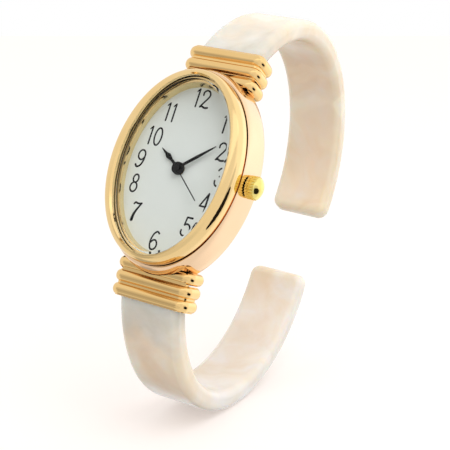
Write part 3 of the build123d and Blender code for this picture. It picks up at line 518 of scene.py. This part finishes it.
# The height of a figure and half the usual thickness of its strokes, in mm, and the space between
# two figures of one hour as a share of that height
FIGURE_HEIGHT = 2.95
HALF_STROKE = 0.14
FIGURE_SPACE = 0.17

# In mm: the dial's face over the case back, the ink's height over it, and what each stroke adds so
# that no two lie in one plane
DIAL_TOP = 5.05
INK_HEIGHT = 0.008
STROKE_LIFT = 0.00004

# Points between the two sides of a stroke's round end
CAP_STEPS = 8

# Where each hour's figure is centred, in mm to the right of and above the dial's middle
FIGURE_PLACES = {
    12: (0.1, 11.45),
    1: (5.05, 8.25),
    2: (6.1, 3.95),
    3: (7.15, 0.1),
    4: (5.95, -4.1),
    5: (4.3, -8.25),
    6: (-0.35, -11.47),
    7: (-5.1, -7.85),
    8: (-6.85, -3.6),
    9: (-7.15, 0.35),
    10: (-5.95, 4.25),
    11: (-4.65, 8.4),
}


def add_stroke(bm, line, half_widths, height):
    """A flat inked stroke with round ends, along a line of points in mm on the dial."""
    last = len(line) - 1
    left, right = [], []
    for i, point in enumerate(line):
        run = (line[min(i + 1, last)] - line[max(i - 1, 0)]).normalized()
        side = Vector((-run.y, run.x)) * half_widths[i]
        left.append(bm.verts.new(place(*(point + side), height)))
        right.append(bm.verts.new(place(*(point - side), height)))
    for i in range(last):
        bm.faces.new((left[i], left[i + 1], right[i + 1], right[i]))
    for end, neighbour, width in ((0, 1, half_widths[0]), (-1, -2, half_widths[-1])):
        out = (line[end] - line[neighbour]).normalized()
        side = Vector((-out.y, out.x))
        cap = []
        for step in range(CAP_STEPS + 1):
            angle = math.pi * step / CAP_STEPS
            rim = line[end] + (side * math.cos(angle) + out * math.sin(angle)) * width
            cap.append(bm.verts.new(place(*rim, height)))
        bm.faces.new(cap)


def make_figures():
    """The dial's twelve figures as one flat inked piece."""
    bm = bmesh.new()
    height = DIAL_TOP + INK_HEIGHT
    for hour, (x, z) in FIGURE_PLACES.items():
        text = str(hour)
        total = sum(FIGURES[digit][0] for digit in text) + FIGURE_SPACE * (len(text) - 1)
        start = x - total * FIGURE_HEIGHT / 2
        foot = z - FIGURE_HEIGHT / 2
        for digit in text:
            width, strokes = FIGURES[digit]
            for points, first, last in strokes:
                height += STROKE_LIFT
                spans = len(points) - 1
                line, half_widths = [], []
                for i, (a, b) in enumerate(points):
                    line.append(Vector((start + a * FIGURE_HEIGHT, foot + b * FIGURE_HEIGHT)))
                    half_widths.append(HALF_STROKE * (first + (last - first) * i / spans))
                add_stroke(bm, line, half_widths, height)
            start += (width + FIGURE_SPACE) * FIGURE_HEIGHT
    bmesh.ops.recalc_face_normals(bm, faces=bm.faces)
    for face in bm.faces:
        if face.normal.y > 0:
            face.normal_flip()
    mesh = bpy.data.meshes.new("dial_figures")
    bm.to_mesh(mesh)
    bm.free()
    figures = bpy.data.objects.new("dial_figures", mesh)
    scene.collection.objects.link(figures)
    mesh.materials.append(ink)
    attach(figures, "case")


make_figures()

# Floor: how far it tips from the camera's own level, in degrees, then its clearance and its reach
# to each side, to the camera and away from it, in metres
FLOOR_TIP = 15
FLOOR_GAP = 0.00005
FLOOR_SIDE, FLOOR_NEAR, FLOOR_FAR = 0.6, 0.3, 0.6
FLOOR_COLOR = (0.56, 0.56, 0.56)
# The glow evens the floor to white for the camera; its warm tint paints a warm bounce of light into
# the floor's shadow
FLOOR_GLOW_AND_PAINTED_BOUNCE = (1.0, 0.86, 0.78)
FLOOR_GLOW_LEVEL = 0.5


def make_floor_material():
    """Pale and lit, with a warm glow for the camera that paints a warm bounce into the shadow.
    Reflections and views from below pass it.
    """
    material = bpy.data.materials.new("pale_floor")
    material.use_nodes = True
    tree = material.node_tree
    tree.nodes.remove(tree.nodes["Principled BSDF"])
    rays = tree.nodes.new("ShaderNodeLightPath")
    facing = tree.nodes.new("ShaderNodeNewGeometry")
    diffuse = tree.nodes.new("ShaderNodeBsdfDiffuse")
    diffuse.inputs["Color"].default_value = (*FLOOR_COLOR, 1)
    glow = tree.nodes.new("ShaderNodeEmission")
    glow.inputs["Color"].default_value = (*FLOOR_GLOW_AND_PAINTED_BOUNCE, 1)
    seen = math_node(
        tree, "MAXIMUM", rays.outputs["Is Camera Ray"], rays.outputs["Is Transmission Ray"]
    )
    tree.links.new(math_node(tree, "MULTIPLY", seen, FLOOR_GLOW_LEVEL), glow.inputs["Strength"])
    lit = tree.nodes.new("ShaderNodeAddShader")
    tree.links.new(diffuse.outputs["BSDF"], lit.inputs[0])
    tree.links.new(glow.outputs["Emission"], lit.inputs[1])
    clear = tree.nodes.new("ShaderNodeBsdfTransparent")
    passed = math_node(tree, "MAXIMUM", facing.outputs["Backfacing"], rays.outputs["Is Glossy Ray"])
    shown = mix_shaders(tree, passed, lit.outputs["Shader"], clear.outputs["BSDF"])
    tree.links.new(shown, tree.nodes["Material Output"].inputs["Surface"])
    return material


def make_floor():
    """The floor, just under the lower arm's lowest point. Gives its upward direction."""
    tip = math.radians(FLOOR_TIP)
    up = (camera_up * math.cos(tip) + camera_back * math.sin(tip)).normalized()
    side = camera_right
    ahead = up.cross(side)
    vertices = nodes["lower_arm"].data.vertices
    contact = min(vertices, key=lambda vertex: vertex.co.dot(up)).co
    middle = contact - up * FLOOR_GAP
    bm = bmesh.new()
    corners = []
    for across, away in (
        (-FLOOR_SIDE, -FLOOR_NEAR), (FLOOR_SIDE, -FLOOR_NEAR),
        (FLOOR_SIDE, FLOOR_FAR), (-FLOOR_SIDE, FLOOR_FAR),
    ):
        corners.append(bm.verts.new(middle + side * across + ahead * away))
    bm.faces.new(corners)
    mesh = bpy.data.meshes.new("floor")
    bm.to_mesh(mesh)
    bm.free()
    floor = bpy.data.objects.new("floor", mesh)
    scene.collection.objects.link(floor)
    mesh.materials.append(make_floor_material())
    return up


room_up = make_floor()
room_right = camera_right
room_ahead = room_up.cross(room_right)


def studio_direction(right, up, ahead):
    """A direction in the room, given to the camera's right, upward and away from it."""
    return (room_right * right + room_up * up + room_ahead * ahead).normalized()


# The tent's plain level, its darkest one, and the one that the camera itself sees
TENT_LEVEL = 0.93
TENT_DARKEST = 0.015
CAMERA_WHITE = 1.0

# A patch comes in from a right angle to its middle, and is full where the cosine is this
PATCH_FADE = 0.15

# Lighter and darker parts of the tent, in degrees: azimuth from the camera's side round to the
# right, elevation, half width, half height and roll, then the edge's softness and the change
TENT_PATCHES = (
    (105, 25, 55, 38, 0, 0.5, 0.27),
    (135, -25, 32, 35, 0, 0.5, 0.28),
    (20, 52, 35, 10, 0, 0.5, 0.34),
    (-35, -15, 40, 30, 0, 0.5, -0.14),
    (-62, 12, 25, 22, 0, 0.5, -0.18),
    (-145, -62, 40, 12, 0, 0.5, -0.42),
    (58, 3, 16, 11, 0, 0.5, -0.35),
    (-66, 8, 22, 14, 0, 0.6, -0.12),
    (-63, -24, 18, 14, 0, 0.5, -0.22),
    (63, -21, 22, 16.5, -35, 0.12, -1.6),
)


def along(tree, where, direction, share=1.0):
    """How far a direction of the tent goes along another, as a share."""
    dot = tree.nodes.new("ShaderNodeVectorMath")
    dot.operation = "DOT_PRODUCT"
    dot.inputs[1].default_value = direction / share
    tree.links.new(where, dot.inputs[0])
    return dot.outputs["Value"]


def patch_change(tree, where, azimuth, elevation, half_wide, half_high, roll, softness, amount):
    """What one oval patch adds to the tent's level."""
    azimuth, elevation, roll = (math.radians(angle) for angle in (azimuth, elevation, roll))
    flat = math.cos(elevation)
    centre = studio_direction(
        math.sin(azimuth) * flat, math.sin(elevation), -math.cos(azimuth) * flat
    )
    side = room_up.cross(centre).normalized()
    top = centre.cross(side)
    wide = side * math.cos(roll) + top * math.sin(roll)
    high = top * math.cos(roll) - side * math.sin(roll)
    across = along(tree, where, wide, math.sin(math.radians(half_wide)))
    upward = along(tree, where, high, math.sin(math.radians(half_high)))
    across = math_node(tree, "MULTIPLY", across, across)
    upward = math_node(tree, "MULTIPLY", upward, upward)
    spot = math_node(tree, "ADD", across, upward)
    inside = spread(tree, spot, (1 - softness, 1 + softness), (1.0, 0.0), smooth=True)
    ahead = spread(tree, along(tree, where, centre), (0.0, PATCH_FADE), (0.0, amount))
    return math_node(tree, "MULTIPLY", inside, ahead)


def make_world():
    """A white tent. Its walls vary a little, and its dark parts give the gold its streaks."""
    world = bpy.data.worlds.new("tent")
    scene.world = world
    world.use_nodes = True
    tree = world.node_tree
    background = tree.nodes["Background"]
    where = tree.nodes.new("ShaderNodeTexCoord").outputs["Generated"]
    total = TENT_LEVEL
    for patch in TENT_PATCHES:
        total = math_node(tree, "ADD", total, patch_change(tree, where, *patch))
    level = math_node(tree, "MAXIMUM", total, TENT_DARKEST)
    rays = tree.nodes.new("ShaderNodeLightPath")
    seen = blend(tree, rays.outputs["Is Camera Ray"], level, CAMERA_WHITE, kind="FLOAT")
    tree.links.new(seen, background.inputs["Strength"])
    background.inputs["Color"].default_value = (1, 1, 1, 1)


make_world()

# The lamp over the object: its direction in the room, its distance and size in metres, its watts
KEY_DIRECTION = (0.30, 0.85, -0.42)
KEY_DISTANCE = 0.5
KEY_SIZE = 0.30
KEY_POWER = 0.58


def make_key_lamp():
    """A soft lamp that doesn't show in the metal."""
    data = bpy.data.lights.new("key_lamp", "AREA")
    data.shape = "SQUARE"
    data.size = KEY_SIZE
    data.energy = KEY_POWER
    lamp = bpy.data.objects.new("key_lamp", data)
    scene.collection.objects.link(lamp)
    lamp.location = studio_direction(*KEY_DIRECTION) * KEY_DISTANCE
    lamp.rotation_euler = (-lamp.location).to_track_quat("-Z", "Y").to_euler()
    lamp.visible_glossy = False


make_key_lamp()
